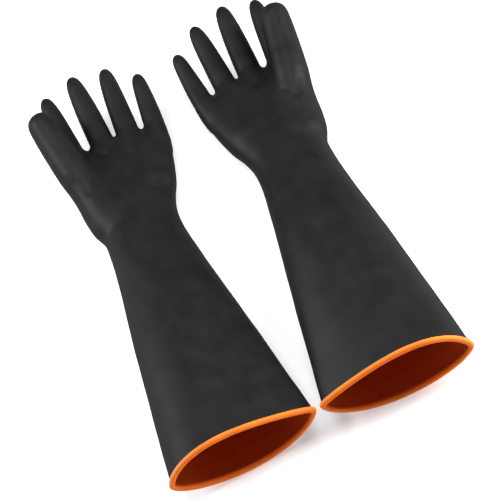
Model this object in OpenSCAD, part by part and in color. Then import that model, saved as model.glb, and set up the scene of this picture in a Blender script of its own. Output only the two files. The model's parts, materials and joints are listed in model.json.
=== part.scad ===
// Pair of long two-layer dipped rubber insulating gloves, lying palms up, side by side.
// +Y runs from the cuffs to the fingertips, +Z is up, and the origin is under the middle of the pair.
// The left glove is modelled, and the right one is its mirror image.

/* [Gauntlet] */
// Half of the cuff's outer width, without the rolled bead
cuff_half_width = 94; // [90:1:98]
// Height of the cuff's opening, outside the wall
cuff_height = 82; // [70:1:88]
// Half of the gap between the two cuff beads
half_gap = 2.5; // [2:0.5:10]
// Length that is added between the cuff and the wrist
extra_length = 0; // [0:1:60]

/* [Rubber] */
// Thickness of the black outer layer
outer_wall = 1.0; // [0.8:0.1:1.2]
// Thickness of the orange inner layer
lining_wall = 1.0; // [0.8:0.1:1.2]
// Radius of the rolled bead round the cuff
bead_radius = 3.5; // [3:0.1:3.8]

/* [Flexing places] */
// Radius of the wrist's flexing place, which clears the tube's half height
wrist_cut = 34.5; // [34:0.5:36]
// A stall's flexing place, as a share of its radius there
stall_cut_share = 1.16; // [1.14:0.01:1.2]
// Gap between the two sides of a flexing place
flex_gap = 0.4; // [0.3:0.1:0.6]

/* [Hidden] */

black = "#2b2b2b";
orange = "#e87a30";
dark_orange = "#a03c14";

glove_x = -(cuff_half_width + bead_radius + half_gap - 0.5); // middle of the left glove
glove_y = -296.7 - extra_length / 2;    // cuff edge of both gloves
full_wall = outer_wall + lining_wall;
ring_sides = 32;
cuff_skew = 0.067;                      // the cuff's edge is this far off square
skew_fade = 100;                        // length over which the edge's skew dies out
lens_fade = 200;                        // length over which the opening's lopsided look dies out
top_lean = 0.2;                         // the top lip peaks towards the thumb's side
bottom_lean = -0.085;                   // the bottom lip peaks towards the little finger's side

// Sections of the tube and palm: place along Y, left and right side, bottom and top,
// and the power that sets how pointed (over 1) or boxy (under 1) the sides are.
w = cuff_half_width;
bed = bead_radius - 0.7;  // height of the cuff wall above what the gloves lie on
sections = [
    [0, -w, w, bed, bed + cuff_height, 1.30],
    [100, -0.851 * w, 0.862 * w, 0.5, 2 + cuff_height, 1.20],
    [200 + extra_length, -65.5, 67, 0, 80, 1.10],
    [300 + extra_length, -50.5, 53, 0, 70, 1.00],
    [340 + extra_length, -46, 48, 0, 63.5, 1.00],
    [365 + extra_length, -46, 47, 0, 60, 1.00],
    [385 + extra_length, -50, 53, 0, 59, 0.95],
    [410 + extra_length, -54, 62, 0, 57, 0.90],
    [440 + extra_length, -55, 70, 0.5, 53, 0.85],
    [470 + extra_length, -52, 75, 2, 47, 0.85],
    [500 + extra_length, -46, 78, 10, 40, 0.85]];
wrist = [0, 360 + extra_length, 30.5];
palm_end = 500 + extra_length;
tube_rings = [0, 12, 25, 50, 75, 100, 150, 200, 240, 275, 300, 316];
palm_rings = [320, 335, 350, 365, 380, 395, 410, 430, 450, 475, 500];

// Stalls: name, root's centre, tip's centre, root's and tip's radius, flexing place's distance
// from the root, and how far its plane of bending leans to the side, in degrees.
e = [0, extra_length, 0];
stalls = [
    ["thumb", [-44, 470, 50] + e, [-55.5, 538, 65] + e, 20, 14.5, 44, 0],
    ["index", [-34, 500, 25] + e, [-37.5, 581.5, 36] + e, 12.7, 10.5, 24, 20],
    ["middle", [2.5, 502, 25] + e, [1.5, 592.5, 37] + e, 13.8, 10.6, 22, 4],
    ["ring", [35, 500, 25] + e, [41, 583.5, 36] + e, 12.8, 10.4, 24, -4],
    ["little", [66.5, 492, 25] + e, [73.5, 560, 33] + e, 11.5, 9.2, 20, -10]];
thenar = [[-30, 398, 33] + e, 23];      // heel of the thumb: centre and radius
stall_back = 24;                        // how far a finger stall reaches back into the palm

function unit(v) = v / norm(v);
function stall_dir(s) = unit(s[2] - s[1]);
function stall_at(s, d) = s[1] + d * stall_dir(s);
function radius_at(s, d) = s[3] + (s[4] - s[3]) * d / norm(s[2] - s[1]);
function hinge_axis(s) = unit(cross(stall_dir(s), [sin(s[6]), 0, cos(s[6])]));
function stall_named(name) = stalls[search([name], stalls, 1)[0]];

// Value number k of the sections at place y, by a cubic through the sections.
function slope(i, k) =
    let (a = max(i - 1, 0), b = min(i + 1, len(sections) - 1))
    (sections[b][k] - sections[a][k]) / (sections[b][0] - sections[a][0]);
function span_of(y, i = 0) = i >= len(sections) - 2 || y < sections[i + 1][0] ? i : span_of(y, i + 1);
function section(y, k) =
    let (i = span_of(y), h = sections[i + 1][0] - sections[i][0],
        t = (y - sections[i][0]) / h,
        a = sections[i][k], b = sections[i + 1][k])
    a * (2 * t^3 - 3 * t^2 + 1) + b * (3 * t^2 - 2 * t^3)
    + h * slope(i, k) * (t^3 - 2 * t^2 + t) + h * slope(i + 1, k) * (t^3 - t^2);

// Across a section, a lip that leans by k peaks off the middle: u' = u + k (1 - u^2), solved for u.
function unlean(c, k) = abs(k) < 0.001 ? c : (1 - sqrt(1 - 4 * k * (c - k))) / (2 * k);

// Point number i of the tube's ring at y, inset by t.
function ring_point(i, y, t) =
    let (left = section(y, 1) + t, right = section(y, 2) - t,
        bottom = section(y, 3) + t, top = section(y, 4) - t,
        power = section(y, 5), a = 360 * i / ring_sides, up = sin(a) >= 0,
        fade = max(0, 1 - y / lens_fade), skew = cuff_skew * max(0, 1 - y / skew_fade)^2,
        u = unlean(cos(a), (up ? top_lean : bottom_lean) * fade),
        x = (left + right) / 2 + (right - left) / 2 * u,
        z = (bottom + top) / 2 + sign(sin(a)) * (top - bottom) / 2 * abs(sin(a))^power)
    [x, y + skew * x, z];
function ring(y, t) = [for (i = [0:ring_sides - 1]) ring_point(i, y, t)];

// The tube's last ring before the wrist lies on the wrist's cylinder.
function wrist_y(z) = wrist[1] - sqrt((wrist_cut + flex_gap)^2 - (z - wrist[2])^2);
function wrist_ring(t) = [for (i = [0:ring_sides - 1])
    let (p = ring_point(i, wrist[1] - 25, t), q = ring_point(i, wrist_y(p[2]), t))
    ring_point(i, wrist_y(q[2]), t)];

// A closed solid through rings of equal length, each of them convex.
module loft(rings) {
    for (j = [0:len(rings) - 2]) hull() band([rings[j], rings[j + 1]]);
}

// One length of it.
module band(rings) {
    n = len(rings[0]);
    m = len(rings);
    points = [for (r = rings) each r];
    sides = [for (j = [0:m - 2], i = [0:n - 1])
        [j * n + i, (j + 1) * n + i, (j + 1) * n + (i + 1) % n, j * n + (i + 1) % n]];
    first = [for (i = [0:n - 1]) i];
    last = [for (i = [n - 1:-1:0]) (m - 1) * n + i];
    polyhedron(points, concat([first], sides, [last]), convexity = 6);
}

function moved(r, y) = [for (p = r) [p[0], p[1] + y, p[2]]];

// Lies along the line from p to q.
module along(p, q) {
    d = q - p;
    translate(p) rotate([0, acos(d[2] / norm(d)), atan2(d[1], d[0])]) children();
}

// A round cone with round ends.
module round_cone(p, q, r1, r2) {
    hull() {
        translate(p) sphere(r1, $fn = 16);
        translate(q) sphere(r2, $fn = 16);
    }
}

// The palm's solid, inset by t: the hand's tube, the heel of the thumb, and the five stall roots.
module palm(t, past = 0) {
    rings = [for (y = palm_rings) ring(min(y + extra_length, palm_end - t), t)];
    loft(concat(past > 0 ? [moved(rings[0], -past)] : [], rings));
    s = stalls[0];
    round_cone(thenar[0], s[1], thenar[1] - t, s[3] - t);
    round_cone(s[1], s[2], s[3] - t, s[4] - t);
    for (i = [1:4]) {
        f = stalls[i];
        round_cone(stall_at(f, -stall_back), f[2], radius_at(f, -stall_back) - t, f[4] - t);
    }
}

// Cylinder along a stall's hinge axis.
module hinge_drum(s, r) {
    c = stall_at(s, s[5]);
    a = hinge_axis(s) * 1.6 * s[3];
    along(c - a, c + a) cylinder(h = norm(2 * a), r = r, $fn = 48);
}

// What a finger or thumb keeps: everything past its flexing place.
module past_hinge(s) {
    c = stall_at(s, s[5]);
    d = stall_dir(s);
    along(c, s[2]) translate([-40, -40, 0]) cube([80, 80, 120]);
}

// What the palm gives up at one stall: all past the flexing place, apart from the drum.
module beyond(s, r) {
    difference() {
        intersection() {
            past_hinge(s);
            round_cone(stall_at(s, 0), s[2], radius_at(s, 0) + 1.5, s[4] + 1.5);
        }
        hinge_drum(s, r);
    }
}

// What the palm keeps at the wrist.
module palm_side() {
    translate([-100, wrist[1], -50]) cube([200, 300, 200]);
    translate(wrist - [100, 0, 0]) rotate([0, 90, 0]) cylinder(h = 200, r = wrist_cut, $fn = 64);
}

module palm_layer(from, to) {
    intersection() {
        difference() {
            palm(from);
            palm(to, 5);
            for (s = stalls) beyond(s, stall_cut_share * radius_at(s, s[5]));
        }
        palm_side();
    }
}

// One layer of the gauntlet, as a single closed tube wall.
module gauntlet_layer(from, to) {
    far = [for (y = tube_rings) y > 50 ? y + extra_length : y];
    out = concat([for (y = far) ring(y, from)], [wrist_ring(from)]);
    in = concat([for (y = far) ring(y, to)], [wrist_ring(to)]);
    n = ring_sides;
    m = len(out);
    outside = [for (j = [0:m - 2], i = [0:n - 1])
        [j * n + i, j * n + (i + 1) % n, (j + 1) * n + (i + 1) % n, (j + 1) * n + i]];
    inside = [for (f = outside) [f[3] + m * n, f[2] + m * n, f[1] + m * n, f[0] + m * n]];
    cuff_edge = [for (i = [0:n - 1]) let (q = (i + 1) % n) [i + m * n, q + m * n, q, i]];
    e = (m - 1) * n;
    wrist_edge = [for (i = [0:n - 1]) let (q = (i + 1) % n)
        [e + i, e + q, e + q + m * n, e + i + m * n]];
    polyhedron([for (r = concat(out, in)) each r],
        [for (f = concat(outside, inside, cuff_edge, wrist_edge)) each [
            [f[0], f[1], f[2]], [f[0], f[2], f[3]]]], convexity = 8);
}

// The rolled edge: a round bead that follows the cuff, a little outside the wall's middle.
module bead() {
    turns = 10;
    edge = ring(0, full_wall * 0.35);
    n = len(edge);
    middle = [for (i = [0:n - 1])
        let (along = unit(edge[(i + 1) % n] - edge[(i + n - 1) % n]),
            out = unit(cross(along, [-cuff_skew, 1, 0])))
        [for (j = [0:turns - 1])
            let (a = 360 * j / turns)
            edge[i] + bead_radius * (cos(a) * out + sin(a) * unit([-cuff_skew, 1, 0]))]];
    faces = [for (i = [0:n - 1], j = [0:turns - 1])
        let (p = (i + 1) % n, q = (j + 1) % turns)
        [i * turns + j, i * turns + q, p * turns + q, p * turns + j]];
    polyhedron([for (r = middle) each r], faces, convexity = 6);
}

// A stall's solid from its root to its tip, as a true cone and sphere, inset by t.
module stall_solid(s, t) {
    far = norm(s[2] - s[1]);
    along(s[1], s[2]) {
        cylinder(h = far, r1 = s[3] - t, r2 = s[4] - t, $fn = 64);
        translate([0, 0, far]) sphere(s[4] - t, $fn = 64);
    }
}

module stall_layer(s, from, to) {
    difference() {
        intersection() {
            stall_solid(s, from);
            past_hinge(s);
        }
        stall_solid(s, to);
        hinge_drum(s, stall_cut_share * radius_at(s, s[5]) + flex_gap);
    }
}

module placed(side) {
    mirror([side == "left" ? 0 : 1, 0, 0]) translate([glove_x, glove_y, 0]) children();
}

module glove_node(side, piece) {
    placed(side) {
        if (piece == "gauntlet_outer") color(black) gauntlet_layer(0, outer_wall);
        if (piece == "gauntlet_lining") color(dark_orange) gauntlet_layer(outer_wall, full_wall);
        if (piece == "cuff_bead") color(orange) bead();
        if (piece == "palm_outer") color(black) palm_layer(0, outer_wall);
        if (piece == "palm_lining") color(dark_orange) palm_layer(outer_wall, full_wall);
        for (s = stalls) {
            if (piece == str(s[0], "_outer")) color(black) stall_layer(s, 0, outer_wall);
            if (piece == str(s[0], "_lining"))
                color(dark_orange) stall_layer(s, outer_wall, full_wall);
        }
    }
}

PIECES = ["gauntlet_outer", "gauntlet_lining", "cuff_bead", "palm_outer", "palm_lining",
    for (s = stalls) each [str(s[0], "_outer"), str(s[0], "_lining")]];

for (side = ["left", "right"], piece = PIECES)
    glove_node(side, piece);
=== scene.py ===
"""Pair of elbow-length rubber insulating gloves: black outside, orange inside, with a rolled orange cuff.

Run as a script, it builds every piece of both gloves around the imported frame, and then the stage. All
lengths are in metres. The left glove is worked out in its own place, with Y running from the cuff's edge
to the fingertips, X across and Z up from what the glove lies on, and the right glove is its mirror image.
"""

import json
import math

import bpy
import numpy as np
from bpy.props import FloatProperty, FloatVectorProperty, IntProperty, PointerProperty
from mathutils import Matrix, Vector


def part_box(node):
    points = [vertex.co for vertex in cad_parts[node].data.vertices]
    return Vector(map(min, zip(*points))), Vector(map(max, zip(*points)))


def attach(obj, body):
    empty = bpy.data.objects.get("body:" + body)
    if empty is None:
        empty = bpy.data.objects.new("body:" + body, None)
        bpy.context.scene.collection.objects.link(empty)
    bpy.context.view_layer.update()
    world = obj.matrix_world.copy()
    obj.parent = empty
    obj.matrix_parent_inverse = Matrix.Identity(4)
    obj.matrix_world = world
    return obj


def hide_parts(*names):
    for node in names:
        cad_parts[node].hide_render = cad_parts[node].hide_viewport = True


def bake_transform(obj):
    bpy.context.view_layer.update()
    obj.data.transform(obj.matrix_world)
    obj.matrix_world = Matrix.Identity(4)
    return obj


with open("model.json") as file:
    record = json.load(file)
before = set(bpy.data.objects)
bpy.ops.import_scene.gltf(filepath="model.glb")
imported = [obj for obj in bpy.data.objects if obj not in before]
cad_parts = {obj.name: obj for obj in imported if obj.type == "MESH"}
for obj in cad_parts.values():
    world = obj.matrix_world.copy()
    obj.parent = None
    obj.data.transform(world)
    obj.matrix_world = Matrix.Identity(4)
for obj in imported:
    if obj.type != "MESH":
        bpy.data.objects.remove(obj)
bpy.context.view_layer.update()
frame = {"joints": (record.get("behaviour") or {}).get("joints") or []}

bl_info = {
    "name": "Rubber insulating gloves",
    "version": (1, 0, 0),
    "blender": (4, 5, 0),
    "location": "View3D > Sidebar > Gloves",
    "description": "Builds a pair of long two-layer dipped rubber gloves",
    "category": "Add Mesh",
}

SIDES = ("left", "right")
FINGERS = ("index", "middle", "ring", "little")
STALLS = ("thumb",) + FINGERS
HINGES = {j["name"]: j for j in frame["joints"]}


def cuff_place():
    """Where the left glove's own origin lies in the row frame: under the middle of its cuff's edge."""
    low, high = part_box("left_cuff_bead")
    return np.array([(low.x + high.x) / 2, (low.y + high.y) / 2, 0.0])


ORIGIN = cuff_place()


# ---------------------------------------------------------------- sizes and colours


def size(name, default, description):
    """A length that a user may change."""
    return FloatProperty(
        name=name, default=default, min=0, description=description, unit="LENGTH", precision=4
    )


def plain(name, default, description):
    """A plain number that a user may change."""
    return FloatProperty(name=name, default=default, description=description, precision=3)


def point(name, default, description):
    """A place in the left glove's own place."""
    return FloatVectorProperty(
        name=name, default=default, description=description, size=3, unit="LENGTH", precision=4
    )


def section(name, default):
    """One section of the sleeve's tube."""
    words = "Place along the glove, left and right side, bottom, top, and how pointed the sides are"
    return FloatVectorProperty(name=name, default=default, size=6, description=words, precision=4)


def paint(name, default, description):
    """A colour with its alpha."""
    return FloatVectorProperty(
        name=name, default=default, description=description, size=4, subtype="COLOR", min=0, max=1
    )


def wattage(name, default, description):
    """A light's power."""
    return FloatProperty(name=name, default=default, min=0, description=description, unit="POWER")


class SleevePlan(bpy.types.PropertyGroup):
    """Sections of the tube from the cuff to the knuckles, and the wall."""

    cuff: section("Cuff", (0.0, -0.094, 0.094, 0.0028, 0.0848, 1.30))
    flare: section("Flare", (0.100, -0.080, 0.081, 0.0005, 0.0840, 1.20))
    forearm: section("Forearm", (0.200, -0.0655, 0.067, 0.0, 0.080, 1.10))
    lower_arm: section("Lower arm", (0.300, -0.0505, 0.053, 0.0, 0.070, 1.0))
    above_wrist: section("Above the wrist", (0.340, -0.0458, 0.0492, 0.0, 0.0635, 1.0))
    wrist: section("Wrist", (0.365, -0.0445, 0.0495, 0.0, 0.060, 1.0))
    heel: section("Heel of the hand", (0.385, -0.0475, 0.0540, 0.0, 0.057, 0.95))
    low_palm: section("Low palm", (0.410, -0.0495, 0.0625, 0.0, 0.052, 0.90))
    mid_palm: section("Middle of the palm", (0.440, -0.0475, 0.0705, 0.0005, 0.047, 0.85))
    high_palm: section("High palm", (0.470, -0.0460, 0.0755, 0.003, 0.0435, 0.85))
    knuckles: section("Knuckles", (0.505, -0.046, 0.079, 0.009, 0.041, 0.85))

    cuff_skew: plain("Cuff skew", 0.067, "How far off square the cuff's edge is")
    skew_fade: size("Skew fade", 0.100, "Length over which the cuff's skew dies out")
    lens_fade: size("Lens fade", 0.200, "Length over which the opening's lopsided look dies out")
    top_lean: plain("Top lip lean", 0.33, "How far off the middle the top lip peaks")
    bottom_lean: plain("Bottom lip lean", -0.085, "The same for the bottom lip")
    outer_wall: size("Outer wall", 0.00095, "Thickness of the black outer layer")
    lining_wall: size("Lining wall", 0.0010, "Thickness of the orange inner layer")
    layer_gap: size("Layer gap", 0.00005, "Between the two layers, so that they never share a face")
    bead_radius: size("Bead radius", 0.0036, "Radius of the rolled bead")
    ripple: size("Ripple", 0.00045, "Height of the soft unevenness of a dipped wall")
    join: size("Join", 0.300, "Place along the glove where the gauntlet's surface meets the hand's")
    around: IntProperty(name="Around", default=224, min=32, description="Faces around the gauntlet")
    along: IntProperty(name="Along", default=120, min=16, description="Faces along the gauntlet")


class HandPlan(bpy.types.PropertyGroup):
    """The hand: five stalls and the pads of the palm."""

    thumb_root: point("Thumb root", (-0.0410, 0.464, 0.046), "Middle of the thumb's root")
    thumb_tip: point("Thumb tip", (-0.0548, 0.5525, 0.069), "Tip of the thumb")
    thumb_radius: size("Thumb radius", 0.0200, "Radius at the thumb's root")
    index_root: point("Index root", (-0.0340, 0.497, 0.025), "Middle of the index stall's root")
    index_tip: point("Index tip", (-0.0375, 0.5935, 0.037), "Tip of the index stall")
    index_radius: size("Index radius", 0.0138, "Radius at the index stall's root")
    middle_root: point("Middle root", (0.0030, 0.499, 0.025), "Middle of the middle stall's root")
    middle_tip: point("Middle tip", (0.0015, 0.6045, 0.038), "Tip of the middle stall")
    middle_radius: size("Middle radius", 0.0146, "Radius at the middle stall's root")
    ring_root: point("Ring root", (0.0350, 0.497, 0.025), "Middle of the ring stall's root")
    ring_tip: point("Ring tip", (0.0410, 0.5955, 0.037), "Tip of the ring stall")
    ring_radius: size("Ring radius", 0.0138, "Radius at the ring stall's root")
    little_root: point("Little root", (0.0675, 0.489, 0.025), "Middle of the little stall's root")
    little_tip: point("Little tip", (0.0735, 0.5705, 0.034), "Tip of the little stall")
    little_radius: size("Little radius", 0.0123, "Radius at the little stall's root")
    tip_power: plain("Tip power", 16.0, "Higher makes the tips blunter")
    taper: plain("Taper", 0.38, "Share of its radius that a finger loses by its tip")
    thumb_taper: plain("Thumb taper", 0.5, "Share of the fingers' taper that the thumb has")
    bow: size("Bow", 0.0022, "How far the stalls sag between root and tip")
    thenar: point("Heel of the thumb", (-0.0260, 0.395, 0.0295), "Middle of the thumb's heel")
    thenar_radius: size("Thenar radius", 0.0215, "Radius of the thumb's heel")
    edge_pad: point("Edge pad", (0.037, 0.420, 0.026), "Middle of the pad on the little finger's side")
    edge_pad_radius: size("Edge pad radius", 0.0180, "Radius of that pad")
    pad_reach: point("Pad reach", (0.016, 0.050, -0.006), "From the pad's middle to its narrow end")
    pad_end_radius: size("Pad end radius", 0.014, "Radius of the pad's narrow end")
    pad_round: size("Pad rounding", 0.016, "How softly the pad flows into the palm")
    web_round: size("Web rounding", 0.010, "How softly the stalls flow into the palm")
    thumb_round: size("Thumb rounding", 0.021, "How softly the thumb flows into the palm")
    palm_end: size("Palm end", 0.501, "Place along the glove where the palm stops between the stalls")
    web_slant: plain("Web slant", 0.25, "Slope of the palm's end at the little finger's side")
    slant_from: size("Slant from", 0.030, "Place across the glove where that slope begins")
    end_round: size("End rounding", 0.022, "How softly the palm ends between the stalls")
    stall_round: size("Stall rounding", 0.002, "Rounding between two stalls")
    heel_reach: plain("Heel reach", 0.22, "Share of the thumb that its heel runs up")
    heel_share: plain("Heel share", 0.9, "The heel's radius there, as a share of the thumb's")
    heel_round: size("Heel rounding", 0.0045, "How softly the thumb flows into its own heel")
    grid: size("Grid", 0.0019, "Spacing of the hand's mesh")


class ColourPlan(bpy.types.PropertyGroup):
    """Colours of the two rubbers, with painted shade: a near-black for the black rubber's rims, and darker
    oranges for the lining inside the cuff.
    """

    # Painted shade: the near-black that the outer layer turns to towards its rims, darker than the rubber's
    # own black.
    painted_rim_shade: paint("Bare rubber", (0.0015, 0.0015, 0.0016, 1), "Outer layer without its bloom")
    black: paint("Black rubber", (0.0072, 0.0070, 0.0071, 1), "Outer layer")
    bloom: paint("Bloom", (0.0150, 0.0143, 0.0144, 1), "Dusty bloom on the black rubber")
    orange: paint("Orange rubber", (0.80, 0.165, 0.014, 1), "Rolled bead")
    deep_orange: paint("Deep orange", (0.64, 0.105, 0.009, 1), "Cloudy patches of the bead")
    # Painted shade: the lining's two oranges are darker than the bead's, so that the inside of the cuff looks
    # shaded.
    lining: paint("Lining", (0.60, 0.125, 0.022, 1), "Inner layer")
    deep_lining: paint("Deep lining", (0.46, 0.085, 0.014, 1), "Cloudy patches of the inner layer")


class StagePlan(bpy.types.PropertyGroup):
    """Camera, floor and lights."""

    elevation: FloatProperty(
        name="Elevation", default=math.radians(53.13), subtype="ANGLE", description="Camera's height"
    )
    roll: FloatProperty(
        name="Roll", default=math.radians(25.35), subtype="ANGLE", description="Camera's roll"
    )
    key_power: wattage("Key", 68, "Power of the wide light overhead")
    left_power: wattage("Left", 58, "Power of the light on the left")
    right_power: wattage("Right", 80, "Power of the light on the right")
    sky: plain("Sky", 0.08, "Strength of the light from all round")
    floor_glow: plain("Floor glow", 0.42, "Light that the floor gives off, so that its shadows stay pale")
    floor: paint("Floor", (0.62, 0.62, 0.62, 1), "Colour of the floor")
    pale_floor: paint("Pale floor", (0.64, 0.64, 0.64, 1), "Its paler patches")
    distance: size("Distance", 24.0, "From the camera to the gloves")
    view_width: size("View width", 0.5882, "Width of what the camera sees at the gloves")
    aim_right: FloatProperty(
        name="Aim right", default=0.0090, unit="LENGTH", description="View's centre, to the right"
    )
    aim_up: FloatProperty(
        name="Aim up", default=-0.0022, unit="LENGTH", description="View's centre, upwards"
    )


# ---------------------------------------------------------------- small helpers


def smooth_min(a, b, k):
    """Smaller of two fields, rounded by a parabola of width k where they cross."""
    h = np.maximum(k - np.abs(a - b), 0.0) / k
    return np.minimum(a, b) - h * h * k / 4


def smooth_step(t):
    """0 up to 0, 1 from 1 on, and 3 t squared less 2 t cubed between."""
    t = np.clip(t, 0.0, 1.0)
    return t * t * (3 - 2 * t)


def edge_keys(a, b, count):
    """One number for each edge between points a and b out of count points, whichever end comes first."""
    return np.minimum(a, b).astype(np.int64) * count + np.maximum(a, b)


# Height of each wave of the wall, its radians per metre along X, Y and Z, and its phase.
WAVES = (
    (1.0, 61, 23, 0, 0.7),
    (0.8, -37, 41, 55, 2.1),
    (0.6, 97, -58, 83, 4.4),
    (0.5, 0, 121, 40, 1.3),
)
TRUE_EDGE = 0.004  # the wall has no waves up to here from the cuff's edge
WAVES_GROW = 0.050  # length over which they come in after that


def ripple(p, height):
    """Soft unevenness at points p: a sum of long slanting sine waves, a few centimetres from crest to
    crest, that add up to the height where they all peak."""
    x, y, z = p[..., 0], p[..., 1], p[..., 2]
    wave = sum(w * np.sin(a * x + b * y + c * z + phase) for w, a, b, c, phase in WAVES)
    most = sum(row[0] for row in WAVES)
    return height * wave / most * smooth_step((y - TRUE_EDGE) / WAVES_GROW)


# ---------------------------------------------------------------- the sleeve's tube


STRAIGHT = 1e-3  # a lip that leans less than this isn't pushed aside
FLATTEST = 1 / 0.12  # least slope that the tube's field is divided by
CROWDING = 0.25  # how much closer the gauntlet's rings are at the cuff


class Tube:
    """The tube from the cuff to the knuckles. Each measure of its section is a cubic curve through the
    named sections, whose slope at a section is the one between that section's two neighbours."""

    def __init__(self, plan):
        names = ("cuff", "flare", "forearm", "lower_arm", "above_wrist", "wrist")
        names += ("heel", "low_palm", "mid_palm", "high_palm", "knuckles")
        rows = np.array([list(getattr(plan, n)) for n in names])
        self.plan, self.y, self.rows = plan, rows[:, 0], rows[:, 1:]
        before = np.maximum(np.arange(len(rows)) - 1, 0)
        after = np.minimum(np.arange(len(rows)) + 1, len(rows) - 1)
        self.slope = (self.rows[after] - self.rows[before]) / (self.y[after] - self.y[before])[:, None]

    def at(self, y):
        """Left, right, bottom, top and power at places y, as five arrays of y's shape."""
        y = np.clip(y, self.y[0], self.y[-1])
        i = np.clip(np.searchsorted(self.y, y, side="right") - 1, 0, len(self.y) - 2)
        h = self.y[i + 1] - self.y[i]
        t = ((y - self.y[i]) / h)[..., None]
        h = h[..., None]
        value = (
            self.rows[i] * (2 * t**3 - 3 * t**2 + 1)
            + self.rows[i + 1] * (3 * t**2 - 2 * t**3)
            + h * self.slope[i] * (t**3 - 2 * t**2 + t)
            + h * self.slope[i + 1] * (t**3 - t**2)
        )
        return [value[..., k] for k in range(5)]

    def surface(self, y, a, inset):
        """The tube's surface at place y and angle a, inset by a wall: across, x is the section's middle
        plus its half width times the cosine, pushed aside by the lip's lean; up, z is its axis plus its
        half height times the sine to the section's power. The cuff's edge is skewed with x."""
        left, right, bottom, top, power = self.at(y)
        left, right, bottom, top = left + inset, right - inset, bottom + inset, top - inset
        plan = self.plan
        c, s = np.cos(a), np.sin(a)
        fade = np.maximum(0, 1 - y / plan.lens_fade)
        lean = np.where(s >= 0, plan.top_lean, plan.bottom_lean) * fade
        leans = np.abs(lean) >= STRAIGHT
        safe = np.where(leans, lean, 1.0)
        pushed = (1 - np.sqrt(np.maximum(1 - 4 * safe * (c - safe), 0))) / (2 * safe)
        u = np.where(leans, pushed, c)
        x = (left + right) / 2 + (right - left) / 2 * u
        z = (bottom + top) / 2 + np.sign(s) * (top - bottom) / 2 * np.abs(s) ** power
        skew = plan.cuff_skew * np.maximum(0, 1 - y / plan.skew_fade) ** 2
        return np.stack([x, y + skew * x, z], -1)

    def field(self, p):
        """How far points p are outside the tube, about in metres: the section's own unit shape, less 1,
        over its gradient."""
        left, right, bottom, top, power = self.at(p[:, 1])
        half, rise = (right - left) / 2, (top - bottom) / 2
        u = (p[:, 0] - (left + right) / 2) / half
        w = np.abs(p[:, 2] - (bottom + top) / 2) / rise
        e = 2 / power
        g = np.maximum(u * u + w**e, 1e-9)
        s = np.sqrt(g)
        du = u / (s * half)
        dw = e * np.maximum(w, 1e-4) ** (e - 1) / (2 * s * rise)
        return (s - 1) / np.maximum(np.sqrt(du * du + dw * dw), FLATTEST)


def grid_normals(p):
    """Outward normals of a surface grid that closes on itself along its second index."""
    along = np.gradient(p, axis=0)
    around = np.roll(p, -1, 1) - np.roll(p, 1, 1)
    n = np.cross(along, around)
    return n / np.maximum(np.linalg.norm(n, axis=-1, keepdims=True), 1e-12)


def gauntlet_grid(plan, inset):
    """Points of the gauntlet's wall at one depth, as a grid of places along by angles around. Places are
    closer together at the cuff."""
    tube = Tube(plan)
    t = np.linspace(0, 1, plan.along + 1)
    y = plan.join * ((1 - CROWDING) * t + CROWDING * t * t)
    a = np.arange(plan.around) * 2 * math.pi / plan.around
    yy, aa = np.meshgrid(y, a, indexing="ij")
    p = tube.surface(yy, aa, inset)
    n = grid_normals(tube.surface(yy, aa, 0.0))
    wave = ripple(p, plan.ripple)[..., None]
    p[..., [0, 2]] += (n * wave)[..., [0, 2]]  # never along Y, so that the join stays flat
    p[..., 2] = np.maximum(p[..., 2], inset)
    return p


# ---------------------------------------------------------------- the hand


NARROWING = {name: 0.6 if name == "thumb" else 1.3 for name in STALLS}  # of a stall behind its root
HIDDEN_END = 0.4  # how far a stall runs back inside the palm, as a share of its length
THUMB_WEB = 0.012  # this far outside the palm, thumb and fingers meet as sharply as two stalls do
PALM_SIDE = 0.026  # height above which the creases show
CREASE_RISE = 0.012  # height over which they reach their full depth
# Ends of each crease seen from above, its width and its depth.
CREASES = (
    ((-0.019, 0.492), (0.001, 0.476), 0.0050, 0.0013),
    ((-0.046, 0.444), (-0.037, 0.425), 0.0040, 0.0006),
    ((-0.037, 0.425), (-0.025, 0.440), 0.0040, 0.0006),
)
SLOPE_STEP = 1e-4  # half the distance across which the field's slope is taken
LONGEST_MOVE = 0.002  # furthest that a point settles in one round
LEAST_SLOPE = 0.05  # least squared slope that a move is divided by


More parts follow.
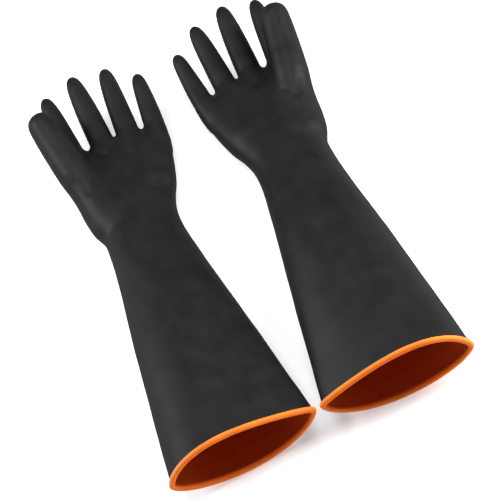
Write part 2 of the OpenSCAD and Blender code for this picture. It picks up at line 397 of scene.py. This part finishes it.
class Hand:
    """The hand as one field that is below 0 inside the rubber: palm tube, thumb's heel, edge pad and five
    stalls, joined with rounded smallest values."""

    def __init__(self, sleeve, plan):
        self.tube, self.sleeve, self.plan = Tube(sleeve), sleeve, plan
        self.stalls = {}
        for name in STALLS:
            root, tip = np.array(getattr(plan, name + "_root")), np.array(getattr(plan, name + "_tip"))
            self.stalls[name] = (root, tip, getattr(plan, name + "_radius"))

    def stall(self, name, p):
        """One stall, about an axis that sags by a squared sine wave. Its radius is its root's, less the
        taper times the share of its length squared, times the square root of 1 - that share to the tip power.
        Behind the root it narrows inside the palm."""
        root, tip, radius = self.stalls[name]
        length = np.linalg.norm(tip - root)
        d = (tip - root) / length
        q = p - root
        s = q @ d
        share = s / length
        q = q - s[:, None] * d
        q[:, 2] += self.plan.bow * np.sin(np.pi * np.clip(share, 0, 1)) ** 2
        ahead, behind = np.clip(share, 0, 1.2), np.clip(-share, 0, 0.6)
        taper = self.plan.taper * (self.plan.thumb_taper if name == "thumb" else 1)
        width = radius * (1 - taper * ahead**2) * (1 - NARROWING[name] * behind)
        r = np.sqrt((q * q).sum(1)) / width
        past = np.maximum(-share - HIDDEN_END, 0) * length
        return (np.sqrt(r * r + ahead**self.plan.tip_power) - 1) * width + past

    def cone(self, p, a, b, ra, rb):
        """A round cone from a to b, as distance from its axis less its radius there."""
        d = b - a
        t = np.clip(((p - a) @ d) / (d @ d), 0, 1)
        return np.linalg.norm(p - a - t[:, None] * d, axis=1) - (ra + (rb - ra) * t)

    def crease(self, p, a, b, width, depth):
        """A soft groove in the palm's side over the line from a to b: depth times a bell curve of the
        distance from that line, seen from above."""
        a, b = np.array(a), np.array(b)
        d = b - a
        t = np.clip(((p[:, :2] - a) @ d) / (d @ d), 0, 1)
        away = np.linalg.norm(p[:, :2] - a - t[:, None] * d, axis=1)
        above = smooth_step((p[:, 2] - PALM_SIDE) / CREASE_RISE)
        return depth * np.exp(-((away / width) ** 2)) * above

    def palm(self, p):
        """The palm: the tube cut off at a slant between the stalls, with a rounded edge, and its pad."""
        plan = self.plan
        tube = self.tube.field(p)
        over = p[:, 1] - plan.palm_end + plan.web_slant * np.maximum(p[:, 0] - plan.slant_from, 0)
        ended = -smooth_min(-tube, -over, plan.end_round)
        middle = np.array(plan.edge_pad)
        end = middle + np.array(plan.pad_reach)
        pad = self.cone(p, middle, end, plan.edge_pad_radius, plan.pad_end_radius)
        return smooth_min(ended, pad, plan.pad_round)

    def thumb(self, p):
        """The thumb and its heel, a cone that runs up inside the thumb."""
        plan = self.plan
        root, tip, radius = self.stalls["thumb"]
        up_thumb = root + (tip - root) * plan.heel_reach
        end_radius = radius * plan.heel_share
        heel = self.cone(p, np.array(plan.thenar), up_thumb, plan.thenar_radius, end_radius)
        return smooth_min(heel, self.stall("thumb", p), plan.heel_round)

    def field(self, p):
        """The whole hand: palm, thumb and fingers joined, less the creases and the waves, and flat where
        it lies. The fingers' rounding into the palm gives way to a sharper one beside the thumb."""
        plan = self.plan
        palm, thumb = self.palm(p), self.thumb(p)
        fingers = self.stall(FINGERS[0], p)
        for name in FINGERS[1:]:
            fingers = smooth_min(fingers, self.stall(name, p), plan.stall_round)
        at_thumb = smooth_step((palm - thumb) / THUMB_WEB)
        web = plan.web_round * (1 - at_thumb) + plan.stall_round * at_thumb
        whole = smooth_min(smooth_min(palm, thumb, plan.thumb_round), fingers, web)
        whole = whole + sum(self.crease(p, *crease) for crease in CREASES)
        return np.maximum(whole - ripple(p, self.sleeve.ripple), -p[:, 2])

    def gradient(self, p):
        """Slope of the field at points p, from its differences across a short step each way."""
        steps = np.eye(3) * SLOPE_STEP
        return np.stack([self.field(p + s) - self.field(p - s) for s in steps], 1) / (2 * SLOPE_STEP)

    def settle(self, p, rounds):
        """Points moved onto the surface along the field's slope."""
        for _ in range(rounds):
            g = self.gradient(p)
            step = self.field(p) / np.maximum((g * g).sum(1), LEAST_SLOPE)
            step = np.clip(step, -LONGEST_MOVE, LONGEST_MOVE)
            p = p - g * step[:, None]
        return p


def level_net(field, low, high, step):
    """The surface where a field is 0, as quads. Each grid cell that it passes through has one vertex, at
    the mean of the crossings on the cell's edges, and each grid edge that it crosses has one quad."""
    axes = [np.arange(a, b, step) for a, b in zip(low, high)]
    p = np.stack(np.meshgrid(*axes, indexing="ij"), -1)
    shape = p.shape[:3]
    f = field(p.reshape(-1, 3)).reshape(shape)
    cells = tuple(n - 1 for n in shape)
    total, count = np.zeros(cells + (3,)), np.zeros(cells)
    crossings = []
    for k in range(3):
        u, v = (k + 1) % 3, (k + 2) % 3
        first = [slice(None)] * 3
        second = [slice(None)] * 3
        first[k], second[k] = slice(None, -1), slice(1, None)
        fa, fb = f[tuple(first)], f[tuple(second)]
        crossed = (fa < 0) != (fb < 0)
        t = np.where(crossed, fa / np.where(crossed, fa - fb, 1.0), 0.0)
        at = p[tuple(first)].copy()
        at[..., k] += t * step
        for du in (0, 1):
            for dv in (0, 1):
                part = [slice(None)] * 3
                part[u] = slice(du, du + cells[u])
                part[v] = slice(dv, dv + cells[v])
                here = crossed[tuple(part)]
                total += at[tuple(part)] * here[..., None]
                count += here
        crossings.append((crossed, fa < 0))
    number = np.full(cells, -1)
    used = count > 0
    number[used] = np.arange(used.sum())
    points = total[used] / count[used][:, None]
    quads = []
    for k, (crossed, starts_inside) in enumerate(crossings):
        u, v = (k + 1) % 3, (k + 2) % 3
        inner = [slice(None)] * 3
        inner[u], inner[v] = slice(1, -1), slice(1, -1)
        where = np.argwhere(crossed[tuple(inner)])
        where[:, u] += 1
        where[:, v] += 1
        ways = starts_inside[tuple(where.T)]
        ring = []
        for du, dv in ((-1, -1), (0, -1), (0, 0), (-1, 0)):
            c = where.copy()
            c[:, u] += du
            c[:, v] += dv
            ring.append(number[tuple(c.T)])
        quad = np.stack(ring, 1)
        quads.append(np.where(ways[:, None], quad, quad[:, ::-1]))
    return points, np.concatenate(quads)


def relaxed(points, faces, share):
    """Each point moved towards the mean of its neighbours along the faces' edges, by a share of the way."""
    a = faces.ravel()
    b = np.roll(faces, -1, 1).ravel()
    count = np.bincount(a, minlength=len(points)) + np.bincount(b, minlength=len(points))
    total = [
        np.bincount(a, points[b, k], len(points)) + np.bincount(b, points[a, k], len(points))
        for k in range(3)
    ]
    return points + share * (np.stack(total, 1) / np.maximum(count, 1)[:, None] - points)


SEAM_BEFORE = 0.0165  # from a stall's hinge back to where its own piece begins
BEND_HALF = 0.016  # half the distance between the two points worked out about each stall's hinge, which nothing uses
# Corners of a box round the whole hand. The low one's place along the glove counts from the join.
HAND_LOW = (-0.083, -0.012, -0.006)
HAND_HIGH = (0.095, 0.614, 0.092)
EVENING_ROUNDS = 4  # how often the net's points are evened out
EVENING = 0.6  # share of the way to its neighbours' mean that a point moves each time

_made = {}  # the hand and the materials, which more than one operator needs


def own_place(joint):
    """A left joint's position in the left glove's own place."""
    return np.array(HINGES[joint]["pos_m"]) - ORIGIN


def stall_line(hand, name):
    """A stall's hinge, on its axis, and the direction of the axis."""
    root, tip, _ = hand.stalls[name]
    d = (tip - root) / np.linalg.norm(tip - root)
    hinge = own_place(f"left_{name}_flex")
    return root + ((hinge - root) @ d) * d, d


def nearest_stall(hand, p):
    """Number of the stall whose field is lowest at points p."""
    return np.argmin(np.stack([hand.stall(n, p) for n in STALLS]), axis=0)


def cut_across(points, faces, height, near):
    """Triangles cut where the height at their points changes sign, along the edges whose two ends are near.
    A cut edge gets one new point, where its height is 0 by proportion. A triangle with one cut edge becomes
    two, and a triangle with two becomes three, so that neighbours always share their new points."""
    a, b = faces, np.roll(faces, -1, 1)
    cut = near[a] & near[b] & ((height[a] > 0) != (height[b] > 0))
    keys, which = np.unique(edge_keys(a[cut], b[cut], len(points)), return_inverse=True)
    low, high = keys // len(points), keys % len(points)
    t = (height[low] / (height[low] - height[high]))[:, None]
    new = np.full(faces.shape, -1)
    new[cut] = len(points) + which.ravel()
    count = cut.sum(1)

    def turned(rows, first):
        order = (first[:, None] + np.arange(3)) % 3
        return np.take_along_axis(faces[rows], order, 1).T, np.take_along_axis(new[rows], order, 1).T

    one, two = np.flatnonzero(count == 1), np.flatnonzero(count == 2)
    (p, q, r), (m, _, _) = turned(one, cut[one].argmax(1))
    (u, v, w), (k, n, _) = turned(two, (cut[two].argmin(1) + 1) % 3)
    parts = [(p, m, r), (m, q, r), (k, v, n), (u, k, n), (u, n, w)]
    faces = np.concatenate([faces[count == 0]] + [np.stack(part, 1) for part in parts])
    return np.concatenate([points, points[low] + t * (points[high] - points[low])]), faces


def hand_surface(scene):
    """Outer surface of the left hand, cut across at the gauntlet's join and at each stall: points, their
    normals, triangles, and for each triangle the piece it belongs to, 0 for the hand and 1 to 5 for the
    stalls in order. The net's points are evened out and settled onto the surface before the cuts."""
    if "hand" in _made:
        return _made["hand"]
    sleeve, plan = scene.glove_sleeve, scene.glove_hand
    hand = Hand(sleeve, plan)
    low = np.array(HAND_LOW) + [0, sleeve.join, 0]
    points, quads = level_net(hand.field, low, HAND_HIGH, plan.grid)
    points = hand.settle(points, 2)
    for _ in range(EVENING_ROUNDS):
        points = hand.settle(relaxed(points, quads, EVENING), 1)
    points = hand.settle(points, 2)

    faces = np.concatenate([quads[:, [0, 1, 2]], quads[:, [0, 2, 3]]])
    whole = np.ones(len(points), bool)
    points, faces = cut_across(points, faces, points[:, 1] - sleeve.join, whole)
    faces = faces[points[faces].mean(1)[:, 1] > sleeve.join]
    planes = []
    for k, name in enumerate(STALLS):
        hinge, d = stall_line(hand, name)
        seam = hinge - d * SEAM_BEFORE
        planes.append((seam, d))
        height = (points - seam) @ d
        points, faces = cut_across(points, faces, height, nearest_stall(hand, points) == k)

    middle = points[faces].mean(1)
    label = np.zeros(len(faces), int)
    nearest = nearest_stall(hand, middle)
    for k, (seam, d) in enumerate(planes):
        label[(nearest == k) & ((middle - seam) @ d > 0)] = k + 1
    g = hand.gradient(points)
    normals = g / np.maximum(np.linalg.norm(g, axis=1, keepdims=True), 1e-9)
    _made["hand"] = (hand, points, normals, faces, label)
    return _made["hand"]


# ---------------------------------------------------------------- meshes


def add_piece(name, side, points, faces, sharp, material, slot):
    """A mesh object from points in the left glove's own place and faces of equal length. The right one is
    mirrored, with its faces turned to point outwards. Edges between the points in sharp stay crisp."""
    p = points + ORIGIN
    if side == "right":
        p = p * [-1, 1, 1]
        faces = faces[:, ::-1]
    name = f"{side}_{name}"
    mesh = bpy.data.meshes.new(name)
    count, width = faces.shape
    mesh.vertices.add(len(p))
    mesh.vertices.foreach_set("co", p.astype(np.float32).ravel())
    mesh.loops.add(count * width)
    mesh.loops.foreach_set("vertex_index", faces.astype(np.int32).ravel())
    mesh.polygons.add(count)
    mesh.polygons.foreach_set("loop_start", np.arange(0, count * width, width, dtype=np.int32))
    mesh.update(calc_edges=True)
    mesh.shade_smooth()
    if len(sharp):
        ends = np.zeros(len(mesh.edges) * 2, np.int32)
        mesh.edges.foreach_get("vertices", ends)
        keys = edge_keys(ends[0::2], ends[1::2], len(p))
        crisp = np.isin(keys, edge_keys(sharp[:, 0], sharp[:, 1], len(p)))
        mesh.attributes.new("sharp_edge", "BOOLEAN", "EDGE").data.foreach_set("value", crisp)
    if mesh.validate():
        raise RuntimeError(f"{name}: the mesh had faults")
    mesh.materials.append(material)
    piece = bpy.data.objects.new(name, mesh)
    bpy.context.scene.collection.objects.link(piece)
    return piece


def shell(outside, inside, faces):
    """A closed wall between two surfaces that have the same faces, with a rim along their open edges.
    Returns points, faces and the rim's edges."""
    n = len(outside)
    a = faces.ravel()
    b = np.roll(faces, -1, 1).ravel()
    keys = edge_keys(a, b, n)
    _, first, times = np.unique(keys, return_index=True, return_counts=True)
    open_edge = first[times == 1]
    a, b = a[open_edge], b[open_edge]
    rim = np.stack([b, a, a + n, b + n], 1)
    if faces.shape[1] == 3:
        rim = np.concatenate([rim[:, [0, 1, 2]], rim[:, [0, 2, 3]]])
    sharp = np.concatenate([np.stack([a, b], 1), np.stack([a + n, b + n], 1)])
    return np.concatenate([outside, inside]), np.concatenate([faces, faces[:, ::-1] + n, rim]), sharp


def compacted(points, faces, *more):
    """Only the points that the faces use, with the faces renumbered."""
    used, inverse = np.unique(faces, return_inverse=True)
    return (points[used], inverse.reshape(faces.shape)) + tuple(m[used] for m in more)


def grid_faces(rows, around):
    """Quads of a grid that closes on itself around, facing outwards."""
    i, j = np.meshgrid(np.arange(rows - 1), np.arange(around), indexing="ij")
    k = (j + 1) % around
    quad = np.stack([i * around + j, (i + 1) * around + j, (i + 1) * around + k, i * around + k], -1)
    return quad.reshape(-1, 4)


BEAD_AROUND = 360  # faces along the bead
BEAD_TURNS = 28  # faces round its section
BEAD_SEAT = 0.35  # share of the wall that the bead's middle sits in from the outside
GROOVE_DEPTH = 0.10  # share of the bead's radius
GROOVE_AT = 1.25  # angle of the roll's edge round the section, in radians
GROOVE_WIDTH = 0.22  # its width, in radians


def bead_surface(plan):
    """The bead: a circle carried along the cuff's edge, in the plane across it. The circle swells and
    shrinks a little on its way. The groove where the roll's edge lies is on its side towards the hand."""
    around, turns = BEAD_AROUND, BEAD_TURNS
    a = np.arange(around) * 2 * math.pi / around
    wall = plan.outer_wall + plan.lining_wall
    edge = Tube(plan).surface(np.zeros(around), a, wall * BEAD_SEAT)
    forward = np.array([-plan.cuff_skew, 1, 0])
    forward /= np.linalg.norm(forward)
    along = np.roll(edge, -1, 0) - np.roll(edge, 1, 0)
    out = np.cross(along, forward)
    out /= np.linalg.norm(out, axis=1, keepdims=True)
    b = np.arange(turns) * 2 * math.pi / turns
    uneven = 1 + 0.018 * np.sin(5 * a + 0.6) + 0.012 * np.sin(13 * a + 2) + 0.008 * np.sin(29 * a + 1)
    groove = GROOVE_DEPTH * np.exp(-(((b - GROOVE_AT) / GROOVE_WIDTH) ** 2))
    radius = plan.bead_radius * uneven[:, None] * (1 - groove)[None, :]
    p = edge[:, None] + (radius * np.cos(b))[..., None] * out[:, None]
    p = p + (radius * np.sin(b))[..., None] * forward
    p[..., 2] = np.maximum(p[..., 2], 0.0)
    i, j = np.meshgrid(np.arange(around), np.arange(turns), indexing="ij")
    k, m = (i + 1) % around, (j + 1) % turns
    quad = np.stack([i * turns + j, i * turns + m, k * turns + m, k * turns + j], -1).reshape(-1, 4)
    return p.reshape(-1, 3), quad[:, ::-1]


def layers(sleeve):
    """The two layers: name, depths of its outside and inside, material and slot."""
    start = sleeve.outer_wall + sleeve.layer_gap
    end = start + sleeve.lining_wall
    return (
        ("outer", 0.0, sleeve.outer_wall, black_rubber(), "black_rubber"),
        ("lining", start, end, orange_rubber("lining"), "orange_lining"),
    )


def mirrored(place, side):
    """A place on the left glove, or the same place on the right one."""
    return tuple(np.array(place) * ([1, 1, 1] if side == "left" else [-1, 1, 1]))


# ---------------------------------------------------------------- materials


class Wire:
    """A shader value that adds Math nodes when it stands in an expression."""

    def __init__(self, recipe, socket):
        self.recipe, self.socket = recipe, socket

    def _math(self, operation, *values, clamp=False):
        """One Math node."""
        settings = {"operation": operation, "use_clamp": clamp}
        return self.recipe.node("ShaderNodeMath", settings, *values)

    def __add__(self, other):
        return self._math("ADD", self, other)

    __radd__ = __add__

    def __mul__(self, other):
        return self._math("MULTIPLY", self, other)

    __rmul__ = __mul__

    def __sub__(self, other):
        return self._math("SUBTRACT", self, other)

    def __rsub__(self, other):
        return self._math("SUBTRACT", other, self)

    def __pow__(self, other):
        return self._math("POWER", self, other)

    def held(self):
        """The value kept from 0 to 1."""
        return self._math("ADD", self, 0.0, clamp=True)


class Recipe:
    """One material's node tree."""

    def __init__(self, name):
        self.material = bpy.data.materials.new(name)
        self.material.use_nodes = True
        self.tree = self.material.node_tree
        self.tree.nodes.clear()
        self.place = self.node("ShaderNodeTexCoord", {}, output="Object")

    def node(self, kind, settings, *values, at=(), output=0, **named):
        """Adds a node, sets its settings, then its sockets from numbers or links: in order, by number in
        at, or by name. Gives one output, or nothing for the last node."""
        made = self.tree.nodes.new(kind)
        for key, value in settings.items():
            setattr(made, key, value)
        sockets = [(made.inputs[i], value) for i, value in list(enumerate(values)) + list(at)]
        for key, value in named.items():
            name = key.replace("_", " ")
            sockets.append((next(s for s in made.inputs if s.name == name and s.enabled), value))
        for socket, value in sockets:
            if isinstance(value, Wire):
                self.tree.links.new(value.socket, socket)
            else:
                socket.default_value = value
        if not made.outputs:
            return None
        if isinstance(output, int):
            return Wire(self, made.outputs[output])
        return Wire(self, next(s for s in made.outputs if s.name == output and s.enabled))

    def noise(self, scale, detail, rough, stretch=(1, 1, 1)):
        """Cloudy noise at so many patches to the metre, drawn out along an axis whose stretch is low."""
        place = self.node("ShaderNodeVectorMath", {"operation": "MULTIPLY"}, self.place, stretch)
        return self.node(
            "ShaderNodeTexNoise", {}, Vector=place, Scale=scale, Detail=detail, Roughness=rough, output="Fac"
        )

    def mix(self, amount, a, b):
        """Mixes two colours. Its sockets go by number, because a Mix node repeats their names for each
        kind of value."""
        sockets = ((0, amount), (6, a), (7, b))
        return self.node("ShaderNodeMix", {"data_type": "RGBA"}, at=sockets, output=2)

    def rubber(self, colour, roughness, normal, **constants):
        """A surface shader from what varies, and its constants by socket name."""
        varying = {"Base_Color": colour, "Roughness": roughness, "Normal": normal}
        return self.node("ShaderNodeBsdfPrincipled", {}, **varying, **constants)

    def bump(self, strength, height):
        """A normal from a height in thousandths of a metre."""
        return self.node(
            "ShaderNodeBump", {}, Strength=strength, Distance=0.001, Height=height, output="Normal"
        )

    def finish(self, shader):
        """Puts the shader on the surface and gives the material."""
        self.node("ShaderNodeOutputMaterial", {}, Surface=shader)
        return self.material


def black_rubber():
    """Black dipped rubber with a dusty bloom in patches, mottled gloss and a very fine grain with faint runs
    along the glove. Its satin gloss shows most where it faces the viewer. Towards the rims it turns into a
    near-black, glossless copy, which is painted shade that darkens the edges."""
    if "black" in _made:
        return _made["black"]
    colours = bpy.context.scene.glove_colours
    r = Recipe("black_rubber")
    patches = r.noise(38, 5, 0.62)
    runs = r.noise(60, 3, 0.5, stretch=(1, 0.12, 1))
    grain = r.noise(1500, 2, 0.6)
    bloom = (patches - 0.36 + runs * 0.35).held()
    colour = r.mix(bloom, tuple(colours.black), tuple(colours.bloom))
    roughness = (0.38 + patches * 0.18 + (grain - 0.5) * 0.12 + (runs - 0.5) * 0.08).held()
    normal = r.bump(0.35, grain * 0.05 + runs * 0.10 + patches * 0.12)
    # Painted shade: a near-black, glossless copy of the rubber, which the rims are mixed into.
    painted_rim_shade_colour = r.mix(bloom, tuple(colours.painted_rim_shade), tuple(colours.black))
    painted_rim_shade = r.rubber(painted_rim_shade_colour, 0.9, normal, Specular_IOR_Level=0.0)
    dusted = r.rubber(colour, roughness, normal, Specular_IOR_Level=0.08)
    # Painted shade at the rims: the satin copy's share falls off where the surface turns away from the
    # viewer, so that the rims go near-black as well as losing their gloss.
    rim = r.node("ShaderNodeLayerWeight", {}, Blend=0.5, output="Facing")
    sheen_and_rim_shade = (((1.0 - rim) ** 0.8) * (0.86 + patches * 0.28)).held()
    _made["black"] = r.finish(r.node("ShaderNodeMixShader", {}, sheen_and_rim_shade, painted_rim_shade, dusted))
    return _made["black"]


def orange_rubber(kind):
    """Orange natural rubber: slightly cloudy between a bright and a deeper orange, satin, faintly grained.
    The lining's is darker than the rolled bead's, as painted shade for the inside of the cuff."""
    if kind in _made:
        return _made[kind]
    colours = bpy.context.scene.glove_colours
    r = Recipe("orange_" + kind)
    cloud = r.noise(40, 4, 0.6)
    runs = r.noise(90, 3, 0.5, stretch=(1, 0.15, 1))
    grain = r.noise(1800, 2, 0.6)
    amount = ((cloud - 0.35) * 1.3 + (runs - 0.5) * 0.4).held()
    pair = (colours.orange, colours.deep_orange)
    # Painted shade: the lining takes the darker pair of oranges.
    if kind == "lining":
        pair = (colours.lining, colours.deep_lining)
    colour = r.mix(amount, tuple(pair[0]), tuple(pair[1]))
    roughness = (0.42 + cloud * 0.14 + (grain - 0.5) * 0.10).held()
    normal = r.bump(0.3, grain * 0.05 + runs * 0.08 + cloud * 0.12)
    _made[kind] = r.finish(r.rubber(colour, roughness, normal, Specular_IOR_Level=0.12))
    return _made[kind]


# ---------------------------------------------------------------- operators


class GLOVE_OT_gauntlets(bpy.types.Operator):
    """Build the gauntlet's two layers for each glove"""

    bl_idname = "glove.gauntlets"
    bl_label = "Gauntlets"

    def execute(self, context):
        plan = context.scene.glove_sleeve
        faces = grid_faces(plan.along + 1, plan.around)
        for kind, near, far, material, slot in layers(plan):
            outside = gauntlet_grid(plan, near).reshape(-1, 3)
            inside = gauntlet_grid(plan, far).reshape(-1, 3)
            points, whole, sharp = shell(outside, inside, faces)
            for side in SIDES:
                name = f"gauntlet_{kind}_skin"
                piece = add_piece(name, side, points, whole, sharp, material, slot)
                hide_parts(f"{side}_gauntlet_{kind}")
                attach(piece, f"{side}_gauntlet")
        return {"FINISHED"}


class GLOVE_OT_hands(bpy.types.Operator):
    """Build the hand's two layers for each glove"""

    bl_idname = "glove.hands"
    bl_label = "Hands"

    def execute(self, context):
        _, points, normals, faces, label = hand_surface(context.scene)
        sleeve = context.scene.glove_sleeve
        p, f, n = compacted(points, faces[label == 0], normals)
        for kind, near, far, material, slot in layers(sleeve):
            whole = shell(p - n * near, p - n * far, f)
            for side in SIDES:
                piece = add_piece(f"hand_{kind}_skin", side, *whole, material, slot)
                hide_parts(f"{side}_palm_{kind}")
                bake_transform(piece)
        return {"FINISHED"}


class GLOVE_OT_stalls(bpy.types.Operator):
    """Build the five stalls' two layers for each glove"""

    bl_idname = "glove.stalls"
    bl_label = "Stalls"

    def execute(self, context):
        hand, points, normals, faces, label = hand_surface(context.scene)
        sleeve = context.scene.glove_sleeve
        for number, name in enumerate(STALLS, 1):
            p, f, n = compacted(points, faces[label == number], normals)
            if not len(f):
                raise RuntimeError(f"the {name} stall has no faces")
            hinge, d = stall_line(hand, name)
            hinge = hinge + ORIGIN
            half = d * BEND_HALF
            for kind, near, far, material, slot in layers(sleeve):
                whole = shell(p - n * near, p - n * far, f)
                for side in SIDES:
                    piece = add_piece(f"{name}_{kind}_skin", side, *whole, material, slot)
                    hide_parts(f"{side}_{name}_{kind}")
                    start, end = mirrored(hinge - half, side), mirrored(hinge + half, side)
                    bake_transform(piece)
        return {"FINISHED"}


class GLOVE_OT_beads(bpy.types.Operator):
    """Build the rolled bead round each cuff"""

    bl_idname = "glove.beads"
    bl_label = "Cuff beads"

    def execute(self, context):
        points, faces = bead_surface(context.scene.glove_sleeve)
        smooth = np.zeros((0, 2), int)
        rubber = orange_rubber("bead")
        for side in SIDES:
            piece = add_piece("cuff_bead_roll", side, points, faces, smooth, rubber, "cuff_bead_orange")
            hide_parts(f"{side}_cuff_bead")
            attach(piece, f"{side}_gauntlet")
        return {"FINISHED"}


FLOOR_SPAN = 6.0  # half the floor's width
FLOOR_DROP = 0.0004  # the floor is this far below the gloves, so that they never share a face


def soft_light(name, at, aim, width, height, power):
    """A rectangular light at one place, turned to face another."""
    light = bpy.data.lights.new(name, "AREA")
    light.shape = "RECTANGLE"
    light.size, light.size_y = width, height
    light.energy = power
    lamp = bpy.data.objects.new(name, light)
    lamp.location = at
    lamp.rotation_euler = (Vector(aim) - Vector(at)).to_track_quat("-Z", "Y").to_euler()
    bpy.context.scene.collection.objects.link(lamp)


def build_floor(scene, plan):
    """A wide plain floor just under the gloves, slightly cloudy and matt."""
    w, z = FLOOR_SPAN, -FLOOR_DROP
    mesh = bpy.data.meshes.new("floor")
    mesh.from_pydata([(-w, -w, z), (w, -w, z), (w, w, z), (-w, w, z)], [], [(0, 1, 2, 3)])
    floor = bpy.data.objects.new("floor", mesh)
    scene.collection.objects.link(floor)
    r = Recipe("pale_floor")
    shade = r.noise(0.8, 2, 0.5)
    colour = r.mix(shade, tuple(plan.floor), tuple(plan.pale_floor))
    glow = {"Emission_Color": (1, 1, 1, 1), "Emission_Strength": plan.floor_glow}
    paper = r.rubber(colour, 0.9, r.bump(0.05, shade), Specular_IOR_Level=0.0, **glow)
    mesh.materials.append(r.finish(paper))


def build_lights(scene, plan):
    """A dim white sky, a wide light overhead and a long one on each side."""
    world = bpy.data.worlds.new("studio")
    world.use_nodes = True
    sky = world.node_tree.nodes["Background"].inputs
    sky["Color"].default_value = (1, 1, 1, 1)
    sky["Strength"].default_value = plan.sky
    scene.world = world
    soft_light("key", (0.0, 0.30, 2.6), (0, 0, 0), 1.8, 1.8, plan.key_power)
    soft_light("side_left", (-1.5, 0.75, 1.0), (-0.1, 0.1, 0.04), 0.6, 1.4, plan.left_power)
    soft_light("side_right", (1.6, -0.1, 0.7), (0.1, 0, 0.04), 0.5, 1.6, plan.right_power)


def build_camera(scene, plan):
    """A long lens far away, looking down at the elevation along +Y and rolled about its own axis. It aims
    at the frame's origin, moved right and up in the picture by the aim."""
    e, t = plan.elevation, plan.roll
    forward = Vector((0, math.cos(e), -math.sin(e)))
    level_up = Vector((0, math.sin(e), math.cos(e)))
    right = Vector((1, 0, 0)) * math.cos(t) - level_up * math.sin(t)
    up = Vector((1, 0, 0)) * math.sin(t) + level_up * math.cos(t)
    target = right * plan.aim_right + up * plan.aim_up
    lens = bpy.data.cameras.new("camera")
    lens.sensor_width = 36
    lens.lens = lens.sensor_width * plan.distance / plan.view_width
    lens.clip_end = 4 * plan.distance
    camera = bpy.data.objects.new("camera", lens)
    turn = Matrix((right, up, -forward)).transposed().to_4x4()
    camera.matrix_world = Matrix.Translation(target - forward * plan.distance) @ turn
    scene.collection.objects.link(camera)
    scene.camera = camera


class GLOVE_OT_stage(bpy.types.Operator):
    """Build the floor, the lights and the camera"""

    bl_idname = "glove.stage"
    bl_label = "Stage"

    def execute(self, context):
        scene = context.scene
        scene.view_settings.view_transform = "Standard"
        for build in (build_floor, build_lights, build_camera):
            build(scene, scene.glove_stage)
        return {"FINISHED"}


class GLOVE_PT_panel(bpy.types.Panel):
    """Lists the steps that build the gloves, and their sizes"""

    bl_label = "Rubber gloves"
    bl_idname = "GLOVE_PT_panel"
    bl_space_type = "VIEW_3D"
    bl_region_type = "UI"
    bl_category = "Gloves"

    def draw(self, context):
        for step in STEPS:
            self.layout.operator(step.bl_idname)
        for keeper, plan in zip(KEEPERS, PLANS):
            box = self.layout.box()
            for key in plan.__annotations__:
                box.prop(getattr(context.scene, keeper), key)


STEPS = (GLOVE_OT_gauntlets, GLOVE_OT_hands, GLOVE_OT_stalls, GLOVE_OT_beads, GLOVE_OT_stage)
PLANS = (SleevePlan, HandPlan, ColourPlan, StagePlan)
KEEPERS = ("glove_sleeve", "glove_hand", "glove_colours", "glove_stage")


def register():
    """Registers the classes, and gives every scene its plans."""
    for c in PLANS + STEPS + (GLOVE_PT_panel,):
        bpy.utils.register_class(c)
    for key, plan in zip(KEEPERS, PLANS):
        setattr(bpy.types.Scene, key, PointerProperty(type=plan))


def unregister():
    """Takes the plans and the classes away again."""
    for key in KEEPERS:
        delattr(bpy.types.Scene, key)
    for c in reversed(PLANS + STEPS + (GLOVE_PT_panel,)):
        bpy.utils.unregister_class(c)


def main():
    """Builds everything in order."""
    register()
    bpy.ops.glove.gauntlets()
    bpy.ops.glove.hands()
    bpy.ops.glove.stalls()
    bpy.ops.glove.beads()
    bpy.ops.glove.stage()


if __name__ == "__main__":
    main()
